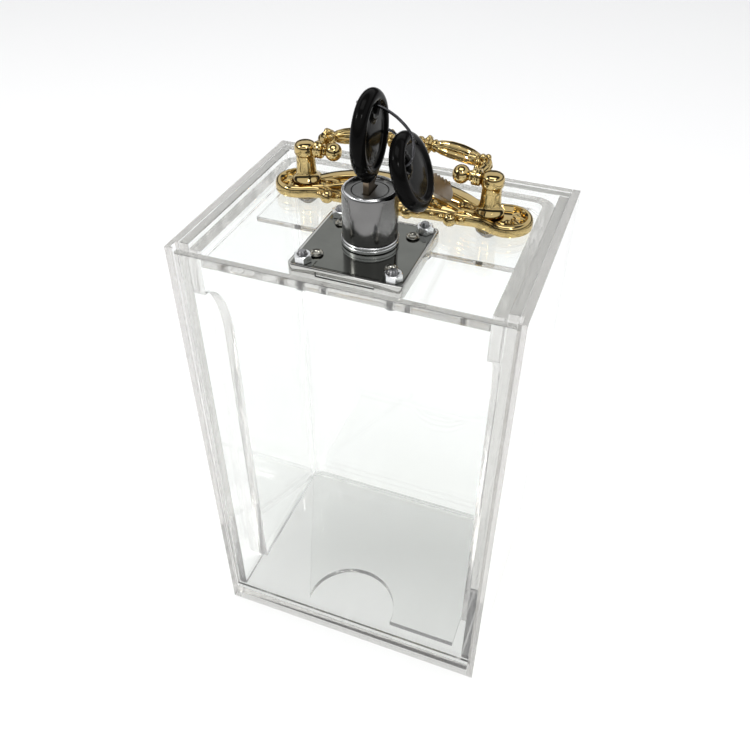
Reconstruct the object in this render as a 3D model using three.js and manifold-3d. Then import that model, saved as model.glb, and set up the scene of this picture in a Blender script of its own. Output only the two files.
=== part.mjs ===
// Lockable clear acrylic box with a sliding front door, a key lock on the lid and a bail handle.
// Millimetres. X runs to the right, the front faces -Y, Z is up; the origin is the middle of the base.
import * as THREE from 'three';
import { mergeVertices } from 'three/addons/utils/BufferGeometryUtils.js';
import Module from 'manifold-3d';

const wasm = await Module();
wasm.setup();

// ---- Driving dimensions ----
const width = 124;
const depth = 90;
const height = 204;
const outerSheet = 3;
const innerSheet = 3.6;
const linerSheet = 4.6;
const baseSheet = 5;
const lidSheet = 3;
const floorSheet = 3;
const padSheet = 2;
const padLeft = -47.6; // the stiffener's left and front edges
const padFront = -7;
const seam = 0.1; // hairline left between glued sheets

const lidTop = 199.5;
const linerTop = 202;
const floorTop = 19.5;

const doorThickness = 2.8;
const doorTop = 201.2;
const doorFront = 1.1; // distance of the door's outer face behind the box's front
const grooveDepth = 1.2;
const grooveSlack = 0.2;

// ---- Places worked out from them ----
const halfWidth = width / 2;
const front = -depth / 2;
const back = depth / 2;
const baseTop = 2 * baseSheet;
const innerX = halfWidth - outerSheet - seam; // outer face of the inner walls
const linerX = innerX - innerSheet - seam; // outer face of the liner
const roomX = linerX - linerSheet; // half the clear width inside the liner
const innerY = back - outerSheet - seam;
const linerY = innerY - innerSheet - seam;
const roomY = linerY - linerSheet;
const doorY = front + doorFront + doorThickness / 2;
const innerFront = front + doorFront + doorThickness + 2 * grooveSlack;
const lidUnder = lidTop - lidSheet;

// Finger openings
const cutY = front + 18.8; // how far back the liner's front edges are cut
const cutTop = 185;
const cutRound = 29;
const thumbRadius = 20.3;

// Lock
const lockX = 1.2;
const lockY = -20.5;
const caseWidth = 40.5;
const caseDepth = 39;
const caseBottom = lidTop + seam;
const caseTop = 204.2;
const caseFront = lockY - caseDepth / 2;
const barrelX = 1.5;
const barrelY = -16.8;
const barrelRadius = 9.4;
const barrelTop = 224;
const plugRadius = 6;
const plugTop = 223;
const boltWidth = 20;
const boltThickness = 1.6;
const boltTop = 203.2;
const pocketTop = 203.3;
const pinOffset = 3.2; // the driving pin's distance from the plug's axis
const pinRadius = 1.1;
const runningGap = 0.3;
const screwSpacing = 31.5;
const screwRadius = 1.45;
const screwHole = 1.85;
const nutHeight = 2.4;
const nutRadius = 3.1;
const rivetRadius = 2.2;

// Keys
const bowWidth = 25;
const bowHeight = 28;
const bowThickness = 5;
const bowRim = 3;
const bowWeb = 3; // the bow's thickness inside its raised rim
const bladeWidth = 7.4;
const bladeThickness = 2;
const bladeLength = 22;
const bladeHold = 4; // how deep the bow holds the blade
const bowBottom = 227.6;
const eyeRadius = 2.3;
const eyeUp = bowHeight / 2 - 4.8; // the eye's distance above the bow's middle
const ringWire = 0.5;

// Handle
const handleY = 17.5;
const handleX = -1.9; // the posts and the bail stand a little left of the middle
const plateX = -0.2;
const plateHalf = roomX - 0.3;
const plateEnd = 9.4;
const plateHeight = 4.2;
const postX = 36; // posts, pins and eyes are measured from handleX
const postRadius = 3.6;
const pivotZ = 216.4;
const postTop = pivotZ + 2.5;
const pinInner = 24;
const bailX = 30.3;
const bailEyeWidth = 3.4;
const bailRadius = 2;
const bailRise = 0.1; // how much the bail rises for each millimetre it reaches back
const bailEyeRadius = 3.1;
const pinShaft = 1.4;
const pinBore = 1.7;
const pinBall = 2.7;
const handleHole = 2.3;
const handleScrewRadius = 1.6;
const washerRadius = 4.6;
const washerThickness = 0.7;

// ---- Materials ----
const acrylic = new THREE.MeshStandardMaterial({ color: 0xf1f4f2, roughness: 0.05, metalness: 0 });
const gold = new THREE.MeshStandardMaterial({ color: 0xe0b04a, roughness: 0.12, metalness: 1 });
const chrome = new THREE.MeshStandardMaterial({ color: 0xb9bcc2, roughness: 0.18, metalness: 1 });
const steel = new THREE.MeshStandardMaterial({ color: 0x8f9298, roughness: 0.3, metalness: 1 });
const plastic = new THREE.MeshStandardMaterial({ color: 0x111114, roughness: 0.35, metalness: 0 });

const box = new THREE.Group();

function add(name, geometry, material, parent = box) {
  const mesh = new THREE.Mesh(geometry, material);
  mesh.name = name;
  parent.add(mesh);
  return mesh;
}

// ---- Solid helpers ----
function toSolid(geometry) {
  const plain = geometry.clone();
  plain.deleteAttribute('normal');
  plain.deleteAttribute('uv');
  const merged = mergeVertices(plain, 1e-4);
  return new wasm.Manifold(new wasm.Mesh({
    numProp: 3,
    vertProperties: new Float32Array(merged.attributes.position.array),
    triVerts: new Uint32Array(merged.index.array),
  }));
}

function toGeometry(solid) {
  const mesh = solid.getMesh();
  const geometry = new THREE.BufferGeometry();
  geometry.setAttribute('position', new THREE.BufferAttribute(mesh.vertProperties, 3));
  geometry.setIndex(new THREE.BufferAttribute(mesh.triVerts, 1));
  geometry.computeVertexNormals();
  return geometry;
}

function cut(body, ...tools) {
  let solid = toSolid(body);
  for (const tool of tools) {
    solid = solid.subtract(toSolid(tool));
  }
  return toGeometry(solid);
}

function join(body, ...others) {
  let solid = toSolid(body);
  for (const other of others) {
    solid = solid.add(toSolid(other));
  }
  return toGeometry(solid);
}

// A block between two opposite corners.
function block(low, high) {
  const size = high.map((value, i) => value - low[i]);
  const geometry = new THREE.BoxGeometry(...size);
  return geometry.translate(...low.map((value, i) => value + size[i] / 2));
}

// An upright round bar.
function bar(radius, low, high, x, y, sides = 24) {
  const geometry = new THREE.CylinderGeometry(radius, radius, high - low, sides);
  return geometry.rotateX(Math.PI / 2).translate(x, y, (low + high) / 2);
}

// A plan outline made solid between two heights.
function slab(shape, low, high, curveSegments = 12) {
  const options = { depth: high - low, bevelEnabled: false, curveSegments };
  const geometry = new THREE.ExtrudeGeometry(shape, options);
  return geometry.translate(0, 0, low);
}

// A profile of [radius, height] points turned round an upright axis.
function turned(profile, x, y, sides = 32) {
  const points = profile.map(([radius, z]) => new THREE.Vector2(radius, z));
  return new THREE.LatheGeometry(points, sides).rotateX(Math.PI / 2).translate(x, y, 0);
}

function roundedRectangle(halfX, halfY, radius) {
  const shape = new THREE.Shape();
  shape.moveTo(-halfX + radius, -halfY);
  shape.lineTo(halfX - radius, -halfY);
  shape.absarc(halfX - radius, -halfY + radius, radius, -Math.PI / 2, 0);
  shape.absarc(halfX - radius, halfY - radius, radius, 0, Math.PI / 2);
  shape.absarc(-halfX + radius, halfY - radius, radius, Math.PI / 2, Math.PI);
  shape.absarc(-halfX + radius, -halfY + radius, radius, Math.PI, 1.5 * Math.PI);
  return shape;
}

// ---- Outer box ----
// A side wall stands the full height and has the door's groove cut in its inner face.
function sideWall(side) {
  const inner = side * (halfWidth - outerSheet);
  const outer = side * halfWidth;
  const wall = block([Math.min(inner, outer), front, 0], [Math.max(inner, outer), back, height]);
  const grooveEnd = side * (halfWidth - outerSheet + grooveDepth);
  const grooveStart = side * (halfWidth - outerSheet - 1);
  const halfGroove = doorThickness / 2 + grooveSlack;
  const groove = block(
    [Math.min(grooveStart, grooveEnd), doorY - halfGroove, baseTop],
    [Math.max(grooveStart, grooveEnd), doorY + halfGroove, height + 1],
  );
  return cut(wall, groove);
}

function outerBox() {
  add('left_side_wall', sideWall(-1), acrylic);
  add('right_side_wall', sideWall(1), acrylic);
  add('back_wall', block([-innerX, back - outerSheet, 0], [innerX, back, height]), acrylic);
  const baseBack = back - outerSheet - seam;
  add('base_plate_lower', block([-innerX, front, 0], [innerX, baseBack, baseSheet - seam]), acrylic);
  add('base_plate_upper', block([-innerX, front, baseSheet], [innerX, baseBack, baseTop - seam]), acrylic);
}

// The inner walls back the outer ones and close the door's channel from behind.
function innerWalls() {
  const inner = innerX - innerSheet;
  const sideBack = innerY - innerSheet - seam;
  const high = height - seam;
  add('left_inner_wall', block([-innerX, innerFront, baseTop], [-inner, sideBack, high]), acrylic);
  add('right_inner_wall', block([inner, innerFront, baseTop], [innerX, sideBack, high]), acrylic);
  add('back_inner_wall', block([-innerX, innerY - innerSheet, baseTop], [innerX, innerY, high]), acrylic);
}

function door() {
  const halfDoor = halfWidth - outerSheet + grooveDepth - grooveSlack;
  const low = [-halfDoor, doorY - doorThickness / 2, baseTop + seam];
  const high = [halfDoor, doorY + doorThickness / 2, doorTop];
  add('front_door', block(low, high), acrylic);
}

// ---- Liner, floor and lid ----
// The liner is one sheet bent into a U round the back.
function linerPlan() {
  const outerBend = 8;
  const innerBend = outerBend - linerSheet;
  const shape = new THREE.Shape();
  shape.moveTo(-linerX, innerFront);
  shape.lineTo(-roomX, innerFront);
  shape.lineTo(-roomX, roomY - innerBend);
  shape.absarc(-roomX + innerBend, roomY - innerBend, innerBend, Math.PI, Math.PI / 2, true);
  shape.lineTo(roomX - innerBend, roomY);
  shape.absarc(roomX - innerBend, roomY - innerBend, innerBend, Math.PI / 2, 0, true);
  shape.lineTo(roomX, innerFront);
  shape.lineTo(linerX, innerFront);
  shape.lineTo(linerX, linerY - outerBend);
  shape.absarc(linerX - outerBend, linerY - outerBend, outerBend, 0, Math.PI / 2);
  shape.lineTo(-linerX + outerBend, linerY);
  shape.absarc(-linerX + outerBend, linerY - outerBend, outerBend, Math.PI / 2, Math.PI);
  return shape;
}

// The finger opening's side profile: a quarter round at its top, straight down to the floor.
function fingerCut() {
  const shape = new THREE.Shape();
  shape.moveTo(front - 5, 0);
  shape.lineTo(cutY, 0);
  shape.lineTo(cutY, cutTop - cutRound);
  const turn = cutY - innerFront;
  shape.absellipse(innerFront, cutTop - cutRound, turn, cutRound, 0, Math.PI / 2);
  shape.lineTo(front - 5, cutTop);
  const options = { depth: width, bevelEnabled: false, curveSegments: 10 };
  const geometry = new THREE.ExtrudeGeometry(shape, options);
  // The outline is drawn in Y and Z, so the solid is turned to run along X.
  geometry.rotateX(Math.PI / 2).rotateZ(Math.PI / 2);
  return geometry.translate(-halfWidth, 0, 0);
}

function liner() {
  const sheet = slab(linerPlan(), floorTop - floorSheet, linerTop, 6);
  add('card_liner', cut(sheet, fingerCut()), acrylic);
}

function floorPlan() {
  const side = roomX - seam;
  const edge = innerFront;
  const rise = 1.5; // the thumb notch's centre stands this far behind the front edge
  const start = Math.asin(rise / thumbRadius);
  const shape = new THREE.Shape();
  shape.moveTo(-side, edge);
  shape.absarc(0, edge + rise, thumbRadius, Math.PI + start, -start, true);
  shape.lineTo(side, edge);
  shape.lineTo(side, roomY - 4);
  shape.lineTo(side - 4, roomY - seam);
  shape.lineTo(-side + 4, roomY - seam);
  shape.lineTo(-side, roomY - 4);
  return shape;
}

function screwPlaces() {
  const half = screwSpacing / 2;
  return [
    ['front_left', lockX - half, lockY - half],
    ['front_right', lockX + half, lockY - half],
    ['rear_left', lockX - half, lockY + half],
    ['rear_right', lockX + half, lockY + half],
  ];
}

function handleScrewHoles(low, high) {
  return [-1, 1].map((side) => bar(handleHole, low, high, handleX + side * postX, handleY, 16));
}

function lidPlan() {
  const side = roomX - seam;
  const bend = 4;
  const shape = new THREE.Shape();
  shape.moveTo(-side, innerFront);
  shape.lineTo(side, innerFront);
  shape.lineTo(side, roomY - bend);
  shape.lineTo(side - bend, roomY - seam);
  shape.lineTo(-side + bend, roomY - seam);
  shape.lineTo(-side, roomY - bend);
  return shape;
}

function sheetsInside() {
  add('card_floor', slab(floorPlan(), floorTop - floorSheet, floorTop, 24), acrylic);
  const lockHoles = screwPlaces().map(([, x, y]) => bar(screwHole, lidUnder - 1, lidTop + 1, x, y, 16));
  const handleHoles = handleScrewHoles(lidUnder - 1, lidTop + 1);
  add('lid', cut(slab(lidPlan(), lidUnder, lidTop), ...lockHoles, ...handleHoles), acrylic);
}

// A second sheet is glued under the back of the lid to stiffen it below the handle.
function stiffener() {
  const high = lidUnder - seam;
  const low = high - padSheet;
  const sheet = block([padLeft, padFront, low], [roomX - 0.3, roomY - 4.2, high]);
  const rear = screwPlaces().filter(([name]) => name.startsWith('rear'));
  const holes = rear.map(([, x, y]) => bar(screwHole, low - 1, high + 1, x, y, 16));
  const handleHoles = handleScrewHoles(low - 1, high + 1);
  add('lid_stiffener', cut(sheet, ...holes, ...handleHoles), acrylic);
}

// ---- Lock ----
const pocketHalf = 14;
const pocketFront = caseFront + 2.2;
const pocketBack = lockY + caseDepth / 2 - 3;

function lockCase() {
  const outline = roundedRectangle(caseWidth / 2, caseDepth / 2, 2.2);
  const body = slab(outline, caseBottom, caseTop, 4).translate(lockX, lockY, 0);
  const pocket = block(
    [barrelX - pocketHalf, pocketFront, caseBottom - 1],
    [barrelX + pocketHalf, pocketBack, pocketTop],
  );
  const half = boltWidth / 2 + runningGap;
  const mouth = block(
    [barrelX - half, caseFront - 1, boltTop - boltThickness - 0.2],
    [barrelX + half, pocketFront + 1, pocketTop],
  );
  const plugHole = bar(plugRadius + runningGap, pocketTop - 1, caseTop + 1, barrelX, barrelY, 32);
  const holes = screwPlaces().map(([, x, y]) => bar(screwHole, caseBottom - 1, caseTop + 1, x, y, 16));
  add('lock_case', cut(body, pocket, mouth, plugHole, ...holes), chrome);
}

function lockCover() {
  const inset = runningGap;
  const low = [barrelX - pocketHalf + inset, pocketFront + inset, caseBottom];
  const high = [barrelX + pocketHalf - inset, pocketBack - inset, caseBottom + 0.8];
  add('lock_cover', block(low, high), steel);
}

// The barrel is a tube with a thin raised lip round its face.
function lockBarrel() {
  const bore = plugRadius + runningGap;
  const base = caseTop + seam;
  const lip = 0.9;
  const profile = [
    [bore, base], [barrelRadius + 0.35, base], [barrelRadius + 0.35, base + 2.3], [barrelRadius, base + 2.5],
    [barrelRadius, barrelTop - 0.5], [barrelRadius - 0.5, barrelTop], [barrelRadius - lip, barrelTop],
    [barrelRadius - lip, plugTop], [bore, plugTop], [bore, base],
  ];
  add('lock_barrel', turned(profile, barrelX, barrelY, 40), chrome);
}

function lockPlug() {
  const low = caseTop + seam;
  const body = bar(plugRadius, low, plugTop, barrelX, barrelY, 32);
  const halfThick = bladeThickness / 2 + runningGap;
  const halfWide = bladeWidth / 2 + runningGap;
  const keyway = block(
    [barrelX - halfThick, barrelY - halfWide, bowBottom - bladeLength - 0.6 + 2],
    [barrelX + halfThick, barrelY + halfWide, plugTop + 1],
  );
  add('lock_plug', cut(body, keyway), chrome);
}

// The cam closes the plug's lower end and carries the pin that drives the bolt.
function lockCam() {
  const disc = bar(plugRadius, pocketTop + 0.1, caseTop, barrelX, barrelY, 32);
  const offset = pinOffset * Math.SQRT1_2;
  const pin = bar(pinRadius, caseBottom + 1.1, pocketTop + 0.4, barrelX + offset, barrelY + offset, 16);
  add('lock_cam', join(disc, pin), steel);
}

function lockBolt() {
  const low = boltTop - boltThickness;
  const rest = caseFront + 0.2;
  const plate = block([barrelX - boltWidth / 2, rest, low], [barrelX + boltWidth / 2, barrelY + 8, boltTop]);
  const offset = pinOffset * Math.SQRT1_2;
  const slotHalf = pinRadius + 0.45;
  const slot = block(
    [barrelX + offset - slotHalf - 0.3, barrelY + offset - slotHalf, low - 1],
    [barrelX + pinOffset + slotHalf + 0.3, barrelY + offset + slotHalf, boltTop + 1],
  );
  add('lock_bolt', cut(plate, slot), chrome);
}

function hexNut(radius, bore, low, high, x, y) {
  const nut = new THREE.CylinderGeometry(radius, radius, high - low, 6);
  nut.rotateX(Math.PI / 2).translate(x, y, (low + high) / 2);
  return cut(nut, bar(bore, low - 1, high + 1, x, y, 16));
}

function lockFasteners() {
  for (const [place, x, y] of screwPlaces()) {
    const through = place.startsWith('rear') ? padSheet + seam : 0;
    const under = lidUnder - seam - through;
    const head = 2.3;
    const nutLow = caseTop + seam;
    const profile = [
      [0, under - head], [2.1, under - head], [3, under - 1.2], [3, under],
      [screwRadius, under], [screwRadius, nutLow + nutHeight + 1], [0, nutLow + nutHeight + 1.2],
    ];
    add(`lock_screw_${place}`, turned(profile, x, y, 16), steel);
    const nut = hexNut(nutRadius, screwRadius + 0.2, nutLow, nutLow + nutHeight, x, y);
    add(`lock_nut_${place}`, nut, chrome);
  }
}

function lockRivets() {
  const dome = [[0, 0], [rivetRadius, 0], [rivetRadius, 0.3], [rivetRadius - 0.7, 0.6], [0, 0.7]];
  for (const [place, x, y] of screwPlaces()) {
    const base = caseTop + seam;
    const profile = dome.map(([radius, rise]) => [radius, base + rise]);
    const inwardX = x + Math.sign(lockX - x) * 2.6;
    const inwardY = y + Math.sign(lockY - y) * 5;
    add(`case_rivet_${place}`, turned(profile, inwardX, inwardY, 16), chrome);
  }
}

// ---- Keys ----
// A key is drawn flat in X and Y, with its hole above and its blade below the bow's middle at the origin.
function bowSolid() {
  const oval = new THREE.Shape();
  oval.absellipse(0, 0, bowWidth / 2 - 1, bowHeight / 2 - 1, 0, 2 * Math.PI);
  const bevel = { bevelSize: 1, bevelThickness: 1, bevelSegments: 2 };
  const options = { depth: bowThickness - 2, curveSegments: 14, ...bevel };
  const bow = new THREE.ExtrudeGeometry(oval, options).translate(0, 0, 1 - bowThickness / 2);
  const hole = new THREE.CylinderGeometry(eyeRadius, eyeRadius, bowThickness + 2, 20);
  hole.rotateX(Math.PI / 2).translate(0, eyeUp, 0);
  const halfWide = bladeWidth / 2 + runningGap;
  const halfThick = bladeThickness / 2 + runningGap;
  const socketTop = -bowHeight / 2 + bladeHold + 0.3;
  const socket = block([-halfWide, -bowHeight / 2 - 2, -halfThick], [halfWide, socketTop, halfThick]);
  const hollow = new THREE.Shape();
  hollow.absellipse(0, 0, bowWidth / 2 - bowRim, bowHeight / 2 - bowRim, 0, 2 * Math.PI);
  const recess = slab(hollow, bowWeb / 2, bowThickness, 14);
  const otherRecess = slab(hollow, -bowThickness, -bowWeb / 2, 14);
  return cut(bow, hole, socket, recess, otherRecess);
}

// The blade is held 4 mm deep in the bow, and one of its edges is cut with notches of three depths.
function bladeSolid() {
  const half = bladeWidth / 2;
  const top = -bowHeight / 2 + bladeHold;
  const tip = top - 2 - bladeLength;
  const point = 2.5; // length of the blade's pointed end
  const teeth = 5;
  const pitch = 3.2;
  const shape = new THREE.Shape();
  shape.moveTo(-half, top);
  shape.lineTo(-half, tip + point);
  shape.lineTo(0, tip);
  shape.lineTo(half, tip + point);
  for (let i = 0; i < teeth; i += 1) {
    const y = tip + point + 0.7 + i * pitch;
    const bite = 1 + 0.5 * ((i * 2) % 3);
    shape.lineTo(half - bite, y + 1);
    shape.lineTo(half, y + pitch - 0.6);
  }
  shape.lineTo(half, top);
  const options = { depth: bladeThickness, bevelEnabled: false };
  return new THREE.ExtrudeGeometry(shape, options).translate(0, 0, -bladeThickness / 2);
}

function key(name, place, turn) {
  const group = new THREE.Group();
  group.position.copy(place);
  group.quaternion.copy(turn);
  add(`${name}_bow`, bowSolid(), plastic, group);
  add(`${name}_blade`, bladeSolid(), chrome, group);
  box.add(group);
}

// The turn that points a key's blade along one direction and its face along another.
function keyTurn(bladeWay, faceWay) {
  const up = bladeWay.clone().normalize().negate();
  const side = up.clone().cross(faceWay).normalize();
  const face = side.clone().cross(up);
  return new THREE.Quaternion().setFromRotationMatrix(new THREE.Matrix4().makeBasis(side, up, face));
}

const keyMiddle = new THREE.Vector3(barrelX, barrelY, bowBottom + bowHeight / 2);
const sparePlace = new THREE.Vector3(15.7, -17, 231.8);
const spareFace = new THREE.Vector3(0.94, 0.05, 0.33).normalize();
const spareBlade = new THREE.Vector3(0.14, 0.8, -0.585).projectOnPlane(spareFace).normalize();
const keyEye = keyMiddle.clone().add(new THREE.Vector3(0, 0, eyeUp));
const spareEye = sparePlace.clone().addScaledVector(spareBlade, -eyeUp);

function keys() {
  key('key', keyMiddle, keyTurn(new THREE.Vector3(0, 0, -1), new THREE.Vector3(1, 0, 0)));
  key('spare_key', sparePlace, keyTurn(spareBlade, spareFace));
}

// The key ring is a loop of thin spring wire with its two ends almost meeting on the far side.
// It threads both eyes and passes behind the back edge of the first key's bow.
function keyRing() {
  const eyeHalf = bowThickness / 2 + 0.6;
  const intoSpare = spareEye.clone().addScaledVector(spareFace, eyeHalf);
  const outOfSpare = spareEye.clone().addScaledVector(spareFace, -eyeHalf);
  const behindBow = keyMiddle.clone().add(new THREE.Vector3(0.5, bowWidth / 2 + 2, -4));
  const farSide = keyEye.clone().add(new THREE.Vector3(-5.4, 8, -5));
  const path = new THREE.CatmullRomCurve3([
    farSide,
    keyEye.clone().add(new THREE.Vector3(-4.3, 1.2, 0)),
    keyEye.clone().add(new THREE.Vector3(0, 0, 0.4)),
    keyEye.clone().add(new THREE.Vector3(4.6, -0.6, 0)),
    keyEye.clone().add(new THREE.Vector3(10.5, -1.6, -2.6)),
    keyEye.clone().add(new THREE.Vector3(14.6, -2.2, -7)),
    intoSpare,
    outOfSpare,
    keyMiddle.clone().add(new THREE.Vector3(6.2, bowWidth / 2 - 4, -3.6)),
    behindBow,
    keyMiddle.clone().add(new THREE.Vector3(-6.8, bowWidth / 2 - 1, -1)),
    farSide.clone().add(new THREE.Vector3(0, 0.3, -0.6)),
  ], false, 'centripetal');
  const section = new THREE.Shape();
  section.absarc(0, 0, ringWire, 0, 2 * Math.PI);
  const wire = new THREE.ExtrudeGeometry(section, { extrudePath: path, steps: 72, curveSegments: 4 });
  add('key_ring', wire, steel);
}

// ---- Handle ----
function platePlan() {
  const shape = new THREE.Shape();
  const endX = plateHalf - plateEnd;
  const waist = 6;
  shape.moveTo(-endX + 7, -waist);
  shape.quadraticCurveTo(-20, -waist - 1.5, -14, -8.6);
  shape.quadraticCurveTo(0, -11.5, 14, -8.6);
  shape.quadraticCurveTo(20, -waist - 1.5, endX - 7, -waist);
  shape.quadraticCurveTo(endX - 3, -plateEnd, endX, -plateEnd);
  shape.absarc(endX, 0, plateEnd, -Math.PI / 2, Math.PI / 2);
  shape.quadraticCurveTo(endX - 3, plateEnd, endX - 7, waist);
  shape.quadraticCurveTo(0, waist + 7, -endX + 7, waist);
  shape.quadraticCurveTo(-endX + 3, plateEnd, -endX, plateEnd);
  shape.absarc(-endX, 0, plateEnd, Math.PI / 2, 1.5 * Math.PI);
  shape.quadraticCurveTo(-endX + 3, -plateEnd, -endX + 7, -waist);
  return shape;
}

function handlePlate() {
  const low = lidTop + seam;
  const plate = slab(platePlan(), low, low + plateHeight, 8).translate(plateX, handleY, 0);
  add('handle_plate', cut(plate, ...handleScrewHoles(low - 1, low + plateHeight + 1)), gold);
}

// A post stands on the plate; its head is bored across for the pivot pin and below for its screw.
function handlePost(side) {
  const base = lidTop + seam + plateHeight + seam;
  const profile = [
    [0, base], [postRadius + 1.2, base], [postRadius + 0.4, base + 1.6], [postRadius, base + 3],
    [postRadius - 0.2, pivotZ - 3], [postRadius, pivotZ - 1.6], [postRadius + 0.2, pivotZ],
    [postRadius - 0.1, pivotZ + 1.3], [postRadius - 1.4, postTop - 0.3], [0, postTop],
  ];
  const middle = handleX + side * postX;
  const post = turned(profile, middle, handleY, 24);
  const cross = new THREE.CylinderGeometry(pinBore, pinBore, 8, 16).rotateZ(Math.PI / 2);
  cross.translate(middle - side * 3.2, handleY, pivotZ);
  const tapped = bar(1.9, base - 1, base + 8, middle, handleY, 16);
  return cut(post, cross, tapped);
}

// The pivot pin runs inward from the post's head and ends in a ball.
function pivotPin(side) {
  const shaftEnd = postX + 0.4;
  const length = shaftEnd - pinInner;
  const shaft = new THREE.CylinderGeometry(pinShaft, pinShaft, length, 16).rotateZ(Math.PI / 2);
  shaft.translate(handleX + side * (pinInner + length / 2), handleY, pivotZ);
  const ball = new THREE.SphereGeometry(pinBall, 16, 12);
  ball.translate(handleX + side * pinInner, handleY, pivotZ);
  return join(shaft, ball);
}

// The bail lies back from its pivot axis: it leaves its eyes, bows out behind the posts and runs across.
function bailPath() {
  const half = [[30, 2.2], [31.2, 5], [31.4, 7], [29.3, 9.4], [24, 12.2], [16.3, 14.4], [8, 15.5]];
  const left = half.map(([x, y]) => [-x, y]).reverse();
  const points = [...half, [0, 15.8], ...left].map(([x, y]) => (
    new THREE.Vector3(handleX + x, handleY + y, pivotZ + bailRise * y)
  ));
  return new THREE.CatmullRomCurve3(points);
}

function bail() {
  const section = new THREE.Shape();
  section.absarc(0, 0, bailRadius, 0, 2 * Math.PI);
  const rod = new THREE.ExtrudeGeometry(section, { extrudePath: bailPath(), steps: 56, curveSegments: 5 });
  const eyes = [];
  const bores = [];
  for (const side of [-1, 1]) {
    const place = [handleX + side * bailX, handleY, pivotZ];
    const eye = new THREE.CylinderGeometry(bailEyeRadius, bailEyeRadius, bailEyeWidth, 20);
    const bore = new THREE.CylinderGeometry(pinBore, pinBore, 8, 16);
    eyes.push(eye.rotateZ(Math.PI / 2).translate(...place));
    bores.push(bore.rotateZ(Math.PI / 2).translate(...place));
  }
  add('handle_bail', cut(join(rod, ...eyes), ...bores), gold);
}

// The handle's screws come up from under the lid, each over a washer.
const washerTop = lidUnder - 2 * seam - padSheet;

function handleScrew(side) {
  const under = washerTop - washerThickness - 2 * seam;
  const tip = lidTop + plateHeight + 7;
  const profile = [
    [0, under - 2.1], [2.2, under - 2.1], [3.4, under - 0.9], [3.4, under],
    [handleScrewRadius, under], [handleScrewRadius, tip], [0, tip + 0.4],
  ];
  return turned(profile, handleX + side * postX, handleY, 16);
}

function handleWasher(side) {
  const low = washerTop - washerThickness;
  const bore = handleScrewRadius + 0.4;
  const profile = [
    [bore, low], [washerRadius, low], [washerRadius, washerTop], [bore, washerTop], [bore, low],
  ];
  return turned(profile, handleX + side * postX, handleY, 20);
}

function handle() {
  handlePlate();
  for (const [side, name] of [[-1, 'left'], [1, 'right']]) {
    add(`handle_post_${name}`, handlePost(side), gold);
    add(`pivot_pin_${name}`, pivotPin(side), gold);
    add(`handle_screw_${name}`, handleScrew(side), steel);
    add(`handle_washer_${name}`, handleWasher(side), steel);
  }
  bail();
}

outerBox();
innerWalls();
door();
liner();
sheetsInside();
stiffener();
lockCase();
lockCover();
lockBarrel();
lockPlug();
lockCam();
lockBolt();
lockFasteners();
lockRivets();
keys();
keyRing();
handle();

export default box;
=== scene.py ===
"""Looks for the clear acrylic card box: its sheets, lock, two keys on a wire loop and gilt bail handle.

Lengths in the shape code are millimetres in the CAD frame; MM turns them into metres where a mesh is made.
"""

import math

import bmesh
import bpy
from mathutils import Matrix, Vector

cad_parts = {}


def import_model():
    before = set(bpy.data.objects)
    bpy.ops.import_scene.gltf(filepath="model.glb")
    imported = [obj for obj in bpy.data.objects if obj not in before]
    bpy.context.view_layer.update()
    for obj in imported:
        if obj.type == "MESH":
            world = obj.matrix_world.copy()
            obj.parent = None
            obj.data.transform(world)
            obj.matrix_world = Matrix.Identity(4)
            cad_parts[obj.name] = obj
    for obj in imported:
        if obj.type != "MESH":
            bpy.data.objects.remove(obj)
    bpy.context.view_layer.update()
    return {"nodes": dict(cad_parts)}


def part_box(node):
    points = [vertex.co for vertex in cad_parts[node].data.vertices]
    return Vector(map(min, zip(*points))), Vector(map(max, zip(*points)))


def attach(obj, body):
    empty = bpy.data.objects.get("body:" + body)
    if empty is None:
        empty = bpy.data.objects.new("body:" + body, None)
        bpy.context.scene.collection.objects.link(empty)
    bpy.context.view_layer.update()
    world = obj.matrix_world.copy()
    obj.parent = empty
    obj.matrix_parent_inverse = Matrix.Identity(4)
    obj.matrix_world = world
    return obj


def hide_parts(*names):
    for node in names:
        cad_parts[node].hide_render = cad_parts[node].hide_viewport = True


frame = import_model()

MM = 0.001
UP = Vector((0, 0, 1))
SMOOTH_ANGLE = math.radians(35)
# Points closer than this, in metres, are made one
MERGE_DISTANCE = 1e-6
# A turned profile stops this far from its axis, in millimetres, so that no ring shrinks to a point
TIP_RADIUS = 0.02
# The least length that is divided by
TINY = 1e-9
# A face is level when its normal rises more than this
LEVEL = 0.9

# Camera: where it stands, which way it looks, and its lens
CAMERA_PLACE = Vector((0.08575, -0.23147, 0.34264))
CAMERA_AZIMUTH = 21.03
CAMERA_ELEVATION = 40.76
CAMERA_LENS = 37.53
CAMERA_SENSOR = 36.0


# ---- Places read from the CAD model, in millimetres ----
def low_of(node):
    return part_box(node)[0] / MM


def high_of(node):
    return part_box(node)[1] / MM


def middle_of(node):
    return (low_of(node) + high_of(node)) / 2


# ---- Mesh helpers ----
def placed(name, data):
    """A new object in the scene for a mesh, lamp or camera."""
    thing = bpy.data.objects.new(name, data)
    bpy.context.scene.collection.objects.link(thing)
    return thing


def new_piece(name, verts, faces, material, body, replaces=()):
    """A mesh piece in metres from points in millimetres, riding on a body."""
    mesh = bpy.data.meshes.new(name)
    mesh.from_pydata([tuple(Vector(v) * MM) for v in verts], [], faces)
    bm = bmesh.new()
    bm.from_mesh(mesh)
    bmesh.ops.remove_doubles(bm, verts=bm.verts, dist=MERGE_DISTANCE)
    bmesh.ops.recalc_face_normals(bm, faces=bm.faces)
    bm.to_mesh(mesh)
    bm.free()
    mesh.shade_smooth()
    mesh.set_sharp_from_angle(angle=SMOOTH_ANGLE)
    mesh.materials.append(material)
    piece = placed(name, mesh)
    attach(piece, body)
    if replaces:
        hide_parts(*replaces)
    return piece


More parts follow.
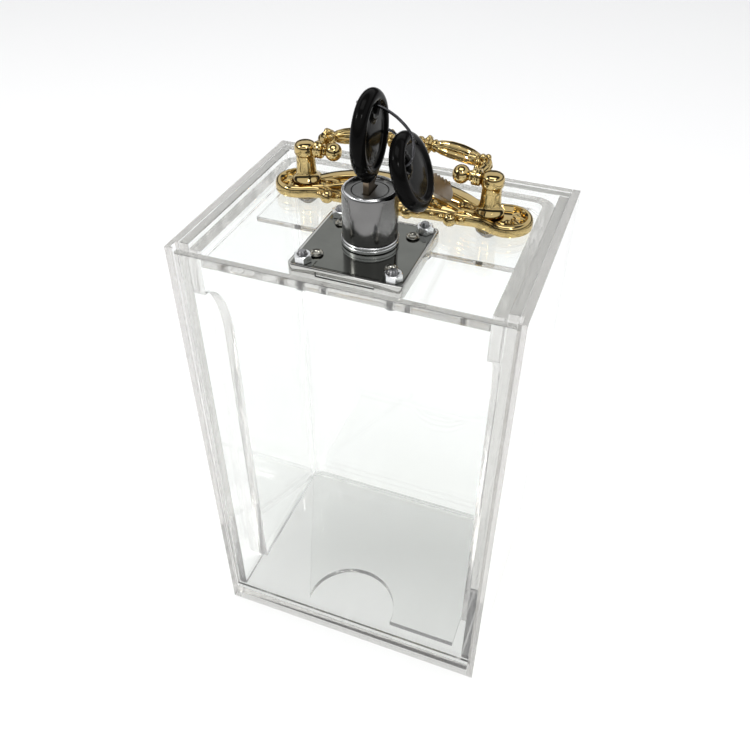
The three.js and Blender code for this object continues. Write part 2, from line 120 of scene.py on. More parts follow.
def skin(rings, caps=True, around=False):
    """Points and faces of a surface through rings of points; around joins the last ring to the first."""
    verts = [point for ring in rings for point in ring]
    size = len(rings[0])
    faces = []
    count = len(rings) if around else len(rings) - 1
    for j in range(count):
        a = j * size
        b = ((j + 1) % len(rings)) * size
        for i in range(size):
            k = (i + 1) % size
            faces.append((a + i, a + k, b + k, b + i))
    if caps and not around:
        faces.append(tuple(reversed(range(size))))
        faces.append(tuple(range(len(verts) - size, len(verts))))
    return verts, faces


def joined(*parts):
    """Several (points, faces) pairs as one."""
    verts, faces = [], []
    for part_verts, part_faces in parts:
        start = len(verts)
        verts.extend(part_verts)
        faces.extend(tuple(i + start for i in face) for face in part_faces)
    return verts, faces


def circle(radius, segments, z=0.0):
    turn = 2 * math.pi / segments
    return [Vector((radius * math.cos(i * turn), radius * math.sin(i * turn), z)) for i in range(segments)]


def lathe(profile, place, segments=64, turn=None, caps=True, around=False):
    """Turns a profile of (radius, height) round the upright axis, then turns and moves it."""
    turn = turn or Matrix.Identity(3)
    rings = [[place + turn @ p for p in circle(max(r, TIP_RADIUS), segments, z)] for r, z in profile]
    return skin(rings, caps, around)


def between_points(first, second, start, end, at):
    return first + (second - first) * ((at - start) / (end - start))


def catmull(points, steps):
    """A smooth line through points: centripetal Catmull-Rom, steps points for each span."""
    points = [Vector(p) for p in points]
    full = [2 * points[0] - points[1], *points, 2 * points[-1] - points[-2]]
    line = []
    for i in range(len(points) - 1):
        p = full[i : i + 4]
        t = [0.0]
        for a, b in zip(p, p[1:]):
            t.append(t[-1] + max((b - a).length, TINY) ** 0.5)
        for step in range(steps):
            at = t[1] + (t[2] - t[1]) * step / steps
            near = [between_points(p[j], p[j + 1], t[j], t[j + 1], at) for j in range(3)]
            pair = [between_points(near[j], near[j + 1], t[j], t[j + 2], at) for j in range(2)]
            line.append(between_points(*pair, t[1], t[2], at))
    line.append(points[-1])
    return line


def frames_along(line):
    """A (place, side, over) triple at each point of a line, with over kept as near upright as it can be."""
    result = []
    for i, place in enumerate(line):
        ahead = (line[min(i + 1, len(line) - 1)] - line[max(i - 1, 0)]).normalized()
        side = ahead.cross(UP).normalized()
        result.append((place, side, side.cross(ahead).normalized()))
    return result


def swept(line, section):
    """A solid along a line; section(share of the way) gives its outline there as (side, over) offsets."""
    rings = []
    frames = frames_along(line)
    for i, (place, side, over) in enumerate(frames):
        outline = section(i / (len(frames) - 1))
        rings.append([place + side * a + over * b for a, b in outline])
    return skin(rings)


# ---- Material helpers ----
class Nodes:
    """A node tree with short calls for what the materials and the room need."""

    def __init__(self, tree):
        self.tree = tree

    def add(self, kind, **settings):
        node = self.tree.nodes.new(kind)
        for key, value in settings.items():
            setattr(node, key, value)
        return node

    def link(self, source, target):
        self.tree.links.new(source, target)

    def place(self, stretch):
        """Object coordinates, stretched."""
        mapping = self.add("ShaderNodeMapping")
        mapping.inputs["Scale"].default_value = stretch
        self.link(self.add("ShaderNodeTexCoord").outputs["Object"], mapping.inputs["Vector"])
        return mapping.outputs[0]

    def noise(self, scale, detail, stretch=(1, 1, 1)):
        node = self.add("ShaderNodeTexNoise")
        node.inputs["Scale"].default_value = scale
        node.inputs["Detail"].default_value = detail
        self.link(self.place(stretch), node.inputs["Vector"])
        return node.outputs["Fac"]

    def math(self, operation, a, b=None):
        node = self.add("ShaderNodeMath", operation=operation)
        for socket, value in zip(node.inputs, (a, b)):
            if value is None:
                continue
            if isinstance(value, (int, float)):
                socket.default_value = value
            else:
                self.link(value, socket)
        return node.outputs[0]

    def between(self, factor, low, high, start=0.0, end=1.0):
        """A number from low to high as factor goes from start to end."""
        node = self.add("ShaderNodeMapRange")
        self.link(factor, node.inputs["Value"])
        for key, value in (("From Min", start), ("From Max", end), ("To Min", low), ("To Max", high)):
            node.inputs[key].default_value = value
        return node.outputs[0]

    def colour(self, factor, first, second):
        node = self.add("ShaderNodeMix", data_type="RGBA")
        self.link(factor, node.inputs["Factor"])
        node.inputs["A"].default_value = (*first, 1)
        node.inputs["B"].default_value = (*second, 1)
        return node.outputs["Result"]

    def bump(self, height, strength, distance):
        node = self.add("ShaderNodeBump")
        node.inputs["Strength"].default_value = strength
        node.inputs["Distance"].default_value = distance
        self.link(height, node.inputs["Height"])
        return node.outputs["Normal"]


class MaterialNodes(Nodes):
    """A new material and its nodes."""

    def __init__(self, name):
        self.material = bpy.data.materials.new(name)
        self.material.use_nodes = True
        super().__init__(self.material.node_tree)
        self.tree.nodes.clear()
        self.output = self.add("ShaderNodeOutputMaterial")

    def principled(self, **values):
        node = self.add("ShaderNodeBsdfPrincipled")
        for key, value in values.items():
            node.inputs[key.replace("_", " ")].default_value = value
        self.link(node.outputs[0], self.output.inputs["Surface"])
        return node


# A face points along an axis when that part of its normal is more than this
FACING = 0.6


def cut_edge_mask(nodes, axes, front_limit):
    """1 on the faces of a sheet that a saw made: those that face along one of the axes.

    A Y face counts only in front of front_limit, so that the back bend of the liner stays clear.
    """
    coordinates = nodes.add("ShaderNodeTexCoord")
    facing = nodes.add("ShaderNodeSeparateXYZ")
    nodes.link(coordinates.outputs["Normal"], facing.inputs[0])
    where = nodes.add("ShaderNodeSeparateXYZ")
    nodes.link(coordinates.outputs["Object"], where.inputs[0])
    mask = None
    for axis in axes:
        one = nodes.math("GREATER_THAN", nodes.math("ABSOLUTE", facing.outputs[axis]), FACING)
        if axis == "Y" and front_limit is not None:
            one = nodes.math("MULTIPLY", one, nodes.math("LESS_THAN", where.outputs["Y"], front_limit))
        mask = one if mask is None else nodes.math("MAXIMUM", mask, one)
    return mask


ACRYLIC_IOR = 1.49
ACRYLIC_CLEAR = (0.985, 0.99, 0.986)
# The grey of sawn edges is painted shade that darkens the sheets' rims; its mottle follows the saw's marks
ACRYLIC_CUT_PAINTED_SHADE = (0.64, 0.625, 0.605)
SHADOW_PASS = (0.986, 0.988, 0.984, 1)
MOTTLE = (1500, 3.0)
SMEAR = (30, 2.0)
SMEAR_ROUGHNESS = 0.02
# Sawn edges' roughness and painted shade: lowest and highest value, and the mottle that gives each
CUT_ROUGHNESS = (0.02, 0.09, 0.35, 0.7)
CUT_PAINTED_SHADE = (0.7, 1.0, 0.4, 0.62)
# Strength, and depth in metres
CUT_BUMP = (0.1, 0.00006)


def acrylic(name, axes, front_limit):
    """Clear cast acrylic: polished faces, finely mottled sawn edges tinted grey as painted shade that darkens
    the rims, and light passes through for shadows.
    """
    nodes = MaterialNodes(name)
    shader = nodes.principled(IOR=ACRYLIC_IOR, Transmission_Weight=1.0)
    mask = cut_edge_mask(nodes, axes, front_limit)
    mottle = nodes.noise(*MOTTLE)
    rough = nodes.math("MULTIPLY", mask, nodes.between(mottle, *CUT_ROUGHNESS))
    smear = nodes.between(nodes.noise(*SMEAR), 0.0, SMEAR_ROUGHNESS)
    nodes.link(nodes.math("ADD", rough, smear), shader.inputs["Roughness"])
    # Painted shade: the sawn edges are tinted grey, in the mottle of the saw's marks, to darken the rims
    shade = nodes.math("MULTIPLY", mask, nodes.between(mottle, *CUT_PAINTED_SHADE))
    nodes.link(nodes.colour(shade, ACRYLIC_CLEAR, ACRYLIC_CUT_PAINTED_SHADE), shader.inputs["Base Color"])
    height = nodes.math("MULTIPLY", mask, mottle)
    nodes.link(nodes.bump(height, *CUT_BUMP), shader.inputs["Normal"])
    passing = nodes.add("ShaderNodeBsdfTransparent")
    passing.inputs["Color"].default_value = SHADOW_PASS
    mix = nodes.add("ShaderNodeMixShader")
    nodes.link(nodes.add("ShaderNodeLightPath").outputs["Is Shadow Ray"], mix.inputs[0])
    nodes.link(shader.outputs[0], mix.inputs[1])
    nodes.link(passing.outputs[0], mix.inputs[2])
    nodes.link(mix.outputs[0], nodes.output.inputs["Surface"])
    return nodes.material


# Noise scale and detail of the metals' patches and of their plain grain, and how strongly a grain shows
METAL_PATCHES = (140, 4.0)
PLAIN_GRAIN = (260, 2.0)
GRAIN_STRENGTH = 0.25
GRAIN_DEPTH = 0.00002
# The noise values between which a patchy roughness goes from lowest to highest
PATCH_SPAN = (0.3, 0.7)


def metal(name, light, dark, rough, wear, grain=PLAIN_GRAIN, grain_depth=GRAIN_DEPTH):
    """Plated metal: two near colours in patches, roughness up by wear in some of them, and a fine grain."""
    nodes = MaterialNodes(name)
    shader = nodes.principled(Metallic=1.0)
    patches = nodes.noise(*METAL_PATCHES)
    nodes.link(nodes.colour(patches, light, dark), shader.inputs["Base Color"])
    nodes.link(nodes.between(patches, rough, rough + wear, *PATCH_SPAN), shader.inputs["Roughness"])
    nodes.link(nodes.bump(nodes.noise(*grain), GRAIN_STRENGTH, grain_depth), shader.inputs["Normal"])
    return nodes.material


PLASTIC_SPECULAR = 0.04
PLASTIC_DARK = (0.002, 0.002, 0.0022)
PLASTIC_LIGHT = (0.005, 0.0048, 0.0045)
PLASTIC_CLOUD = (220, 4.0)
PLASTIC_ROUGHNESS = (0.10, 0.20)
PLASTIC_SKIN = (900, 2.0)
PLASTIC_BUMP = (0.15, 0.00006)


def black_plastic():
    """Moulded black plastic: satin gloss, with a slightly uneven skin."""
    nodes = MaterialNodes("key_plastic")
    shader = nodes.principled(Specular_IOR_Level=PLASTIC_SPECULAR)
    cloud = nodes.noise(*PLASTIC_CLOUD)
    nodes.link(nodes.colour(cloud, PLASTIC_DARK, PLASTIC_LIGHT), shader.inputs["Base Color"])
    nodes.link(nodes.between(cloud, *PLASTIC_ROUGHNESS, *PATCH_SPAN), shader.inputs["Roughness"])
    nodes.link(nodes.bump(nodes.noise(*PLASTIC_SKIN), *PLASTIC_BUMP), shader.inputs["Normal"])
    return nodes.material


# Each metal: its two colours, lowest roughness, wear, and a grain of its own where it has one
GOLD = metal("gilt_casting", (0.66, 0.51, 0.245), (0.46, 0.335, 0.135), 0.05, 0.05)
CHROME = metal("lock_chrome", (0.62, 0.62, 0.60), (0.50, 0.50, 0.48), 0.08, 0.05)
# The case's mirror-polished top: colours darkened as a painted reflection of the darker surroundings it
# mirrors; its sides stay chrome
CASE_TOP_PAINTED_DARK = metal("case_top_painted_dark", (0.20, 0.205, 0.19), (0.145, 0.15, 0.138), 0.07, 0.05)
RIVET = metal("rivet_brass", (0.50, 0.49, 0.44), (0.36, 0.35, 0.31), 0.14, 0.10)
SATIN_GRAIN = (70, 3.0, (9, 9, 1))
SATIN = metal("barrel_satin", (0.225, 0.222, 0.22), (0.165, 0.163, 0.16), 0.11, 0.07, SATIN_GRAIN, 0.00003)
FACE = metal("lock_face", (0.22, 0.22, 0.215), (0.15, 0.15, 0.145), 0.24, 0.12)
SCREW = metal("machine_screw", (0.36, 0.36, 0.37), (0.26, 0.26, 0.27), 0.20, 0.12)
ZINC = metal("zinc", (0.86, 0.87, 0.88), (0.72, 0.73, 0.74), 0.18, 0.12)
BLADE_GRAIN = (500, 2.0, (1, 1, 6))
BLADE = metal("key_blade_nickel", (0.34, 0.27, 0.20), (0.22, 0.17, 0.12), 0.28, 0.12, BLADE_GRAIN)
WIRE = metal("spring_wire", (0.085, 0.085, 0.09), (0.05, 0.05, 0.055), 0.22, 0.10)
PLASTIC = black_plastic()


# ---- Acrylic sheets: the CAD nodes stay, with softened arrises and an acrylic material ----
# The two axes that each sheet's sawn edges face along
SHEET_EDGES = {
    "left_side_wall": "YZ",
    "right_side_wall": "YZ",
    "back_wall": "XZ",
    "base_plate_lower": "XY",
    "base_plate_upper": "XY",
    "left_inner_wall": "YZ",
    "right_inner_wall": "YZ",
    "back_inner_wall": "XZ",
    "front_door": "XZ",
    "card_liner": "YZ",
    "card_floor": "XY",
    "lid": "XY",
    "lid_stiffener": "XY",
}
# In metres: how far a sheet's arris is rounded, a small metal part's edge, and a key blade's
ARRIS = 0.00025
METAL_EDGE = 0.0001
BLADE_EDGE = 0.00012
EDGE_ANGLE = math.radians(40)
# The liner's sawn front edges are in front of this place, in metres, and its bends behind it
LINER_CUT_LIMIT = -0.02


def weld(node):
    """Joins a CAD node's touching points by a modifier, which leaves its mesh as it is."""
    piece = frame["nodes"][node]
    piece.modifiers.new("weld", "WELD").merge_threshold = MERGE_DISTANCE
    return piece


def soften(node, width):
    """Rounds a CAD node's edges a little, by modifiers too."""
    bevel = weld(node).modifiers.new("arris", "BEVEL")
    bevel.width = width
    bevel.segments = 2
    bevel.limit_method = "ANGLE"
    bevel.angle_limit = EDGE_ANGLE


def paint(node, material):
    piece = frame["nodes"][node]
    piece.data.materials.clear()
    piece.data.materials.append(material)


def acrylic_sheets():
    made = {}
    for node, axes in SHEET_EDGES.items():
        limit = LINER_CUT_LIMIT if node == "card_liner" else None
        key = (axes, limit)
        if key not in made:
            made[key] = acrylic(f"acrylic_cut_{axes.lower()}{'_bent' if limit else ''}", axes, limit)
        paint(node, made[key])
        soften(node, ARRIS)


# ---- Handle ----
POST_LEFT = middle_of("handle_post_left")
POST_RIGHT = middle_of("handle_post_right")
HANDLE_X = (POST_LEFT.x + POST_RIGHT.x) / 2
HANDLE_Y = POST_LEFT.y
PIVOT_Z = middle_of("pivot_pin_left").z
PLATE_LOW = low_of("handle_plate").z
PLATE_TOP = high_of("handle_plate").z
PLATE_X = middle_of("handle_plate").x
PLATE_HALF = high_of("handle_plate").x - PLATE_X
END_RADIUS = 9.4
END_X = PLATE_HALF - END_RADIUS
END_STEPS = 14
# The plate's front and back edges on its right half: across and back from the plate's middle
PLATE_FRONT = [
    (0, -8.0), (3.5, -7.8), (7.2, -7.4), (10.5, -7.0), (14, -6.6), (18, -6.4), (21.5, -6.6), (25, -6.6),
    (28, -6.2), (31, -6.2), (34.2, -7.0), (37.4, -8.6),
]
PLATE_BACK = [(37.4, 8.6), (33.5, 6.8), (29, 6.6), (23, 8.6), (15, 11.2), (7, 12.4), (0, 12.6)]


def plate_half_outline():
    """The plate's outline from the middle of its front round the right end to the middle of its back."""
    end = []
    for i in range(END_STEPS + 1):
        angle = -math.pi / 2 + math.pi * i / END_STEPS
        end.append((END_X + END_RADIUS * math.cos(angle), END_RADIUS * math.sin(angle)))
    return PLATE_FRONT + end + PLATE_BACK


def plate_outline():
    right = plate_half_outline()
    left = [(-x, y) for x, y in reversed(right[1:-1])]
    corners = [Vector((PLATE_X + x, HANDLE_Y + y, 0)) for x, y in right + left]
    return catmull([*corners, corners[0]], 4)[:-1]


def spine_of(point):
    """The nearest point of the plate's middle line."""
    x = PLATE_X + max(-END_X, min(END_X, point.x - PLATE_X))
    return Vector((x, HANDLE_Y, 0))


# Distance in from the plate's edge, and height above the plate's underside
PLATE_PROFILE = [
    (0.45, 0.0), (0.1, 0.3), (0.0, 0.9), (0.0, 1.9), (0.1, 2.8), (0.35, 3.5), (0.8, 4.0), (1.4, 4.2),
    (2.0, 4.1),
    (2.5, 3.6), (2.85, 2.9), (3.15, 2.3), (3.5, 2.05), (3.9, 2.15), (4.3, 2.6), (4.7, 3.0), (5.2, 3.2),
]
# Inside that, the share of the way that is left to the middle line, and height above the underside
PLATE_CROWN = [(0.35, 3.4), (0.7, 3.55), (1.0, 3.6)]
# The furthest that the profile and the crown may go, as shares of the distance to the middle line
PROFILE_REACH = 0.94
CROWN_REACH = 0.97


def profile_step(inset, length):
    return min(inset, PROFILE_REACH * length)


def crown_step(share, length):
    start = profile_step(PLATE_PROFILE[-1][0], length)
    return start + max(0.0, CROWN_REACH * length - start) * share


def plate_ring(outline, step, amount, rise):
    """The outline moved in by step(amount, distance to the middle line), at a height above the underside."""
    ring = []
    for p in outline:
        inward = spine_of(p) - p
        ring.append(p + inward.normalized() * step(amount, inward.length) + Vector((0, 0, PLATE_LOW + rise)))
    return ring


def handle_plate():
    outline = plate_outline()
    rings = [plate_ring(outline, profile_step, inset, rise) for inset, rise in PLATE_PROFILE]
    rings += [plate_ring(outline, crown_step, share, rise) for share, rise in PLATE_CROWN]
    new_piece("gilt_plate", *skin(rings), GOLD, "box", ["handle_plate"])


BALL_STEPS = 16
BALL_ANGLES = [math.pi * i / BALL_STEPS for i in range(BALL_STEPS + 1)]
BALL_ROUND = [(math.sin(a), -math.cos(a)) for a in BALL_ANGLES]


def ball(place, radius, flat=1.0, segments=32):
    """A turned ball or, with flat below 1, a button."""
    profile = [(r * radius, z * radius * flat) for r, z in BALL_ROUND]
    return lathe(profile, Vector(place), segments)


# A raised rib: how far its foot goes down into the plate, and its top corners
BAR_FOOT = -1.2
BAR_CORNER = 0.8
BAR_CORNER_STEPS = 4


def rounded_bar(half_width, height):
    """A bar's cross-section outline: flat underside, rounded top corners, flat top."""
    points = [(-half_width, BAR_FOOT), (-half_width, height - BAR_CORNER)]
    for i in range(1, BAR_CORNER_STEPS + 1):
        a = math.pi / 2 * i / BAR_CORNER_STEPS
        x = -half_width + BAR_CORNER * (1 - math.cos(a))
        points.append((x, height - BAR_CORNER + BAR_CORNER * math.sin(a)))
    points += [(-x, z) for x, z in reversed(points)]
    return points


# The middle line of each raised rib: across, back and up from the handle's middle at the plate's top
RIB_LINE = [
    (4.5, 11.4, -0.2), (9.5, 11.7, 0), (14.9, 11.0, 0.2), (21.5, 8.3, 0.4), (27.2, 5.2, 0.3),
    (31.6, 3.2, -0.4),
]
RIB_STEPS = 8
# A rib's half width and height at its middle end, and how much of each it loses by the other
RIB_WIDTH, RIB_NARROWING = 3.0, 0.7
RIB_HEIGHT, RIB_LOWERING = 1.2, 0.5
# The thin rail before each rib, in the same way
RAIL_LINE = [(5.5, 4.6, 0), (12, 4.0, 0), (19, 1.2, 0), (26, -2.6, -0.2), (31.5, -5.0, -0.4)]
RAIL_RADIUS = 0.9


def handle_points(line, side):
    """Points of a table of distances from the handle's middle at the plate's top, on one side."""
    return [(HANDLE_X + side * x, HANDLE_Y + y, PLATE_TOP + z) for x, y, z in line]


def rib_section(share):
    return rounded_bar(RIB_WIDTH - RIB_NARROWING * share, RIB_HEIGHT - RIB_LOWERING * share)


def rail_section(share):
    """A rail's outline, the same at every share of the way."""
    return [(p.x, p.y) for p in circle(RAIL_RADIUS, 12)]


def plate_ribs():
    """The raised flat-topped ribs from the plate's middle to its ends, with a thin rail before each."""
    parts = []
    for side in (-1, 1):
        parts.append(swept(catmull(handle_points(RIB_LINE, side), RIB_STEPS), rib_section))
        parts.append(swept(catmull(handle_points(RAIL_LINE, side), RIB_STEPS), rail_section))
    new_piece("gilt_plate_ribs", *joined(*parts), GOLD, "box")


# A leaf's cross-section from edge to edge, as shares of its half width and height
LEAF_SECTION = [
    (-1, -0.5), (-0.96, 0.1), (-0.6, 0.62), (-0.22, 0.62), (0, 1), (0.22, 0.62), (0.6, 0.62),
    (0.96, 0.1), (1, -0.5),
]
LEAF_STEPS_PER_LOBE = 4
LOBE_DEPTH = 0.28
# A leaf swells from its root and back as a sine, of which it leaves out this share at the root
LEAF_START = 0.06
# Below 1, the swelling is quick at the root and blunt at the tip
LEAF_BLUNTNESS = 0.7
LEAF_LEAST_WIDTH = 0.12
LEAF_LEAST_HEIGHT = 0.15


def leaf(root, tip, width, height, lobes=5):
    """A carved leaf: a ridge from root to tip whose edge is cut into lobes."""
    root, tip = Vector(root), Vector(tip)
    along = tip - root
    side = along.cross(UP).normalized()
    rings = []
    steps = LEAF_STEPS_PER_LOBE * lobes
    for i in range(steps + 1):
        t = i / steps
        bulge = math.sin(math.pi * min(1.0, t * (1 - LEAF_START) + LEAF_START)) ** LEAF_BLUNTNESS
        lobe = 1 - LOBE_DEPTH * (0.5 - 0.5 * math.cos(2 * math.pi * lobes * t))
        half = max(LEAF_LEAST_WIDTH, width * bulge * lobe)
        rise = max(LEAF_LEAST_HEIGHT, height * bulge)
        place = root + along * t
        rings.append([place + side * (half * a) + Vector((0, 0, rise * b)) for a, b in LEAF_SECTION])
    return skin(rings)


# Balls cast along the plate's front: across and back from the handle's middle, up from the plate, radius
FRONT_BALLS = [
    (23.8, -9.0, 3.3, 2.6), (27.6, -7.4, 2.8, 1.4), (20.2, -7.4, 2.8, 1.4), (16.6, -7.0, 2.8, 1.2),
    (7.8, -9.2, 3.3, 2.6), (11.6, -7.8, 2.8, 1.4), (4.2, -8.2, 2.8, 1.4),
]
# Leaves cast on the plate: root and tip from the handle's middle, half width and height
PLATE_LEAVES = [
    ((31.5, -2.2), (23.5, -4.8), 2.2, 1.8), ((9, -3.4), (17.5, -5.0), 2.4, 2.2), ((3, 2),
    (9.5, 5.8), 2.6, 2.4),
    ((18.5, -1.6), (11, 1.0), 2.0, 1.8), ((30, 1.2), (22.5, 2.6), 1.8, 1.6),
]
ORNAMENT_RISE = 3.4
# The small leaves that fan out at each end: their directions, and where each starts and stops from its middle
END_LEAF_TURNS = (-75, -35, 5, 45)
END_LEAF_START, END_LEAF_STOP = 1.6, 6.6
END_LEAF_DROP = 0.4
END_LEAF_SIZE = (1.6, 1.2)
END_LEAF_LOBES = 3
# The button in the middle, and how far the leaves before and behind it reach
BUTTON_RADIUS, BUTTON_FLATNESS = 4.2, 0.62
MIDDLE_LEAF_REACHES = (-9.6, 11.4)
MIDDLE_LEAF_SIZE = (2.4, 2.2)


def plate_ornaments():
    """Balls, a button and leaves cast on the plate."""
    parts = []
    level = PLATE_LOW + ORNAMENT_RISE
    for side in (-1, 1):
        for x, y, z, radius in FRONT_BALLS:
            parts.append(ball((HANDLE_X + side * x, HANDLE_Y + y, PLATE_LOW + z), radius))
        for root, tip, width, height in PLATE_LEAVES:
            ends = [(HANDLE_X + side * x, HANDLE_Y + y, level) for x, y in (root, tip)]
            parts.append(leaf(*ends, width, height))
        end_middle = Vector((PLATE_X + side * END_X, HANDLE_Y, level - END_LEAF_DROP))
        for turn in END_LEAF_TURNS:
            angle = math.radians(turn)
            way = Vector((side * math.cos(angle), math.sin(angle), 0))
            ends = (end_middle + way * END_LEAF_START, end_middle + way * END_LEAF_STOP)
            parts.append(leaf(*ends, *END_LEAF_SIZE, END_LEAF_LOBES))
    middle = Vector((HANDLE_X, HANDLE_Y, level))
    parts.append(ball(middle, BUTTON_RADIUS, BUTTON_FLATNESS))
    for reach in MIDDLE_LEAF_REACHES:
        ends = (middle + Vector((0, reach * 0.3, 0)), middle + Vector((0, reach, 0.2)))
        parts.append(leaf(*ends, *MIDDLE_LEAF_SIZE))
    new_piece("gilt_plate_ornaments", *joined(*parts), GOLD, "box")


# A post's radius, and height from the pivot axis: from its foot below to its domed head above
POST_PROFILE = [
    (5.3, -12.6), (5.4, -12.2), (5.2, -11.7), (4.6, -11.1), (4.15, -10.3), (3.85, -9.2), (3.7, -7.6),
    (3.6, -5),
    (3.6, -2.8), (3.75, -2.5), (4.05, -2.2), (4.18, -1.6), (4.2, -0.6), (4.15, 0.3), (4.0, 1.0), (3.7, 1.6),
    (3.1, 2.05), (2.2, 2.35), (1.2, 2.47), (0, 2.5),
]


def handle_posts():
    for name, middle in (("left", POST_LEFT), ("right", POST_RIGHT)):
        place = Vector((middle.x, middle.y, PIVOT_Z))
        new_piece(f"gilt_post_{name}", *lathe(POST_PROFILE, place, 56), GOLD, "box", [f"handle_post_{name}"])


# A pivot pin starts this far outside its post's middle
PIN_ROOT = 0.3
# A pivot pin from there inward: distance along the pin and radius, ending in its ball
PIN_PROFILE = [
    (0.0, 1.45), (3.0, 1.4), (6.6, 1.4), (7.6, 1.45), (8.0, 1.9), (8.4, 1.95), (8.8, 1.7), (9.2, 2.0),
    (9.8, 2.7),
    (10.6, 3.15), (11.5, 3.35), (12.5, 3.3), (13.4, 2.95), (14.1, 2.35), (14.6, 1.6), (14.9, 0.7), (14.95, 0),
]


def pivot_pins():
    for name, middle in (("left", POST_LEFT), ("right", POST_RIGHT)):
        inward = math.copysign(1.0, HANDLE_X - middle.x)
        turn = Matrix(((0, 0, inward), (1, 0, 0), (0, inward, 0)))
        place = Vector((middle.x - inward * PIN_ROOT, middle.y, PIVOT_Z))
        profile = [(radius, reach) for reach, radius in PIN_PROFILE]
        new_piece(f"gilt_pin_{name}", *lathe(profile, place, 40, turn), GOLD, "box", [f"pivot_pin_{name}"])


# How far each of the bail's eyes is from the handle's middle
BAIL_X = 30.3
# Half of the bail's middle line from an eye: across, and back from its axis
BAIL_HALF = [(30, 2.2), (31.2, 5), (31.4, 7), (29.3, 9.4), (24, 12.2), (16.3, 14.4), (8, 15.5)]
BAIL_BACK = 15.8
# How much the bail rises for each millimetre that it goes back
BAIL_RISE = 0.1
BAIL_STEPS = 20
BAIL_RINGS = 281


def bail_line():
    across = [(-x, y) for x, y in BAIL_HALF] + [(0, BAIL_BACK)] + list(reversed(BAIL_HALF))
    points = [(HANDLE_X + x, HANDLE_Y + y, PIVOT_Z + BAIL_RISE * y) for x, y in across]
    return catmull(points, BAIL_STEPS)


def even(line, count):
    """The same line with points at even distances."""
    lengths = [0.0]
    for a, b in zip(line, line[1:]):
        lengths.append(lengths[-1] + (b - a).length)
    points = []
    j = 0
    for i in range(count):
        want = lengths[-1] * i / (count - 1)
        while j < len(line) - 2 and lengths[j + 1] < want:
            j += 1
        share = (want - lengths[j]) / max(lengths[j + 1] - lengths[j], TINY)
        points.append(line[j].lerp(line[j + 1], share))
    return points


# Half of the bail from its middle to an eye: share of the way, radius, and depth of the flutes there
BAIL_PROFILE = [
    (0.00, 2.8, 0.00), (0.03, 2.7, 0.00), (0.05, 2.0, 0.00), (0.07, 1.9, 0.00), (0.09, 2.5, 0.00),
    (0.12, 2.5, 0.00), (0.14, 1.8, 0.00), (0.165, 2.6, 0.00), (0.19, 2.9, 0.00), (0.21, 2.6, 0.00),
    (0.23, 1.9, 0.00), (0.25, 2.4, 0.00), (0.265, 2.4, 0.00), (0.28, 2.1, 0.05), (0.32, 2.6, 0.12),
    (0.42, 3.1, 0.16), (0.54, 3.2, 0.16), (0.66, 2.9, 0.14), (0.73, 2.4, 0.06), (0.745, 2.0, 0.00),
    (0.765, 2.8, 0.10), (0.80, 3.2, 0.26), (0.84, 3.0, 0.28), (0.885, 2.3, 0.12), (0.91, 1.9, 0.00),
    (0.95, 1.8, 0.00), (1.00, 1.7, 0.00),
]
FLUTES = 10
POINTS_PER_FLUTE = 6


def profile_at(profile, share):
    """Linear values of a profile table at a share of the way."""
    for first, second in zip(profile, profile[1:]):
        if share <= second[0]:
            t = (share - first[0]) / (second[0] - first[0])
            return [a + (b - a) * t for a, b in zip(first[1:], second[1:])]
    return list(profile[-1][1:])


def bail_section(share):
    """The bail's outline at a share of the way from eye to eye."""
    radius, flute = profile_at(BAIL_PROFILE, abs(2 * share - 1))
    section = []
    count = POINTS_PER_FLUTE * FLUTES
    for i in range(count):
        a = 2 * math.pi * i / count
        r = radius * (1 - flute * (0.5 - 0.5 * math.cos(FLUTES * a)))
        section.append((r * math.cos(a), r * math.sin(a)))
    return section


# Beads cast on the bail are placed by the nearest of this many steps from eye to eye
BEAD_STEPS = 200
# Rings of beads: where they are, beads in each, how far from the middle line, and a bead's radius
RING_SHARES = (0.405, 0.5, 0.595)
RING_BEADS, RING_REACH, RING_BEAD_RADIUS = 10, 2.5, 0.95
# Clusters by the eyes: how far from the bail's middle, beads' angles in radians, their reach and radius
CLUSTER_SHARE = 0.405
CLUSTER_ANGLES = (-0.4, 0.5, 1.4, 2.3, 3.4)
CLUSTER_REACH, CLUSTER_BEAD_RADIUS = 2.7, 1.25


def bead(frame_at, angle, reach, radius, segments):
    place, side, over = frame_at
    return ball(place + (side * math.cos(angle) + over * math.sin(angle)) * reach, radius, segments=segments)


def bail_beads():
    """Rings of beads round the middle of the bail, and a cluster of larger ones by each eye."""
    parts = []
    frames = frames_along(even(bail_line(), BEAD_STEPS + 1))
    for share in RING_SHARES:
        for i in range(RING_BEADS):
            angle = 2 * math.pi * i / RING_BEADS
            parts.append(bead(frames[round(share * BEAD_STEPS)], angle, RING_REACH, RING_BEAD_RADIUS, 12))
    for side_sign in (-1, 1):
        spot = frames[round((0.5 + side_sign * CLUSTER_SHARE) * BEAD_STEPS)]
        for angle in CLUSTER_ANGLES:
            parts.append(bead(spot, angle, CLUSTER_REACH, CLUSTER_BEAD_RADIUS, 16))
    return parts


# A bail eye round its pin: radius, and distance along the pin
BAIL_EYE = [
    (1.75, -1.7), (2.5, -1.75), (3.0, -1.5), (3.2, -0.9), (3.05, -0.4), (3.25, 0.0), (3.05, 0.4), (3.2, 0.9),
    (3.0, 1.5), (2.5, 1.75), (1.75, 1.7),
]


def handle_bail():
    parts = [swept(even(bail_line(), BAIL_RINGS), bail_section)]
    parts += bail_beads()
    turn = Matrix(((0, 0, 1), (1, 0, 0), (0, 1, 0)))
    for side in (-1, 1):
        place = Vector((HANDLE_X + side * BAIL_X, HANDLE_Y, PIVOT_Z))
        parts.append(lathe(BAIL_EYE, place, 40, turn, caps=False, around=True))
    new_piece("gilt_bail", *joined(*parts), GOLD, "bail", ["handle_bail"])


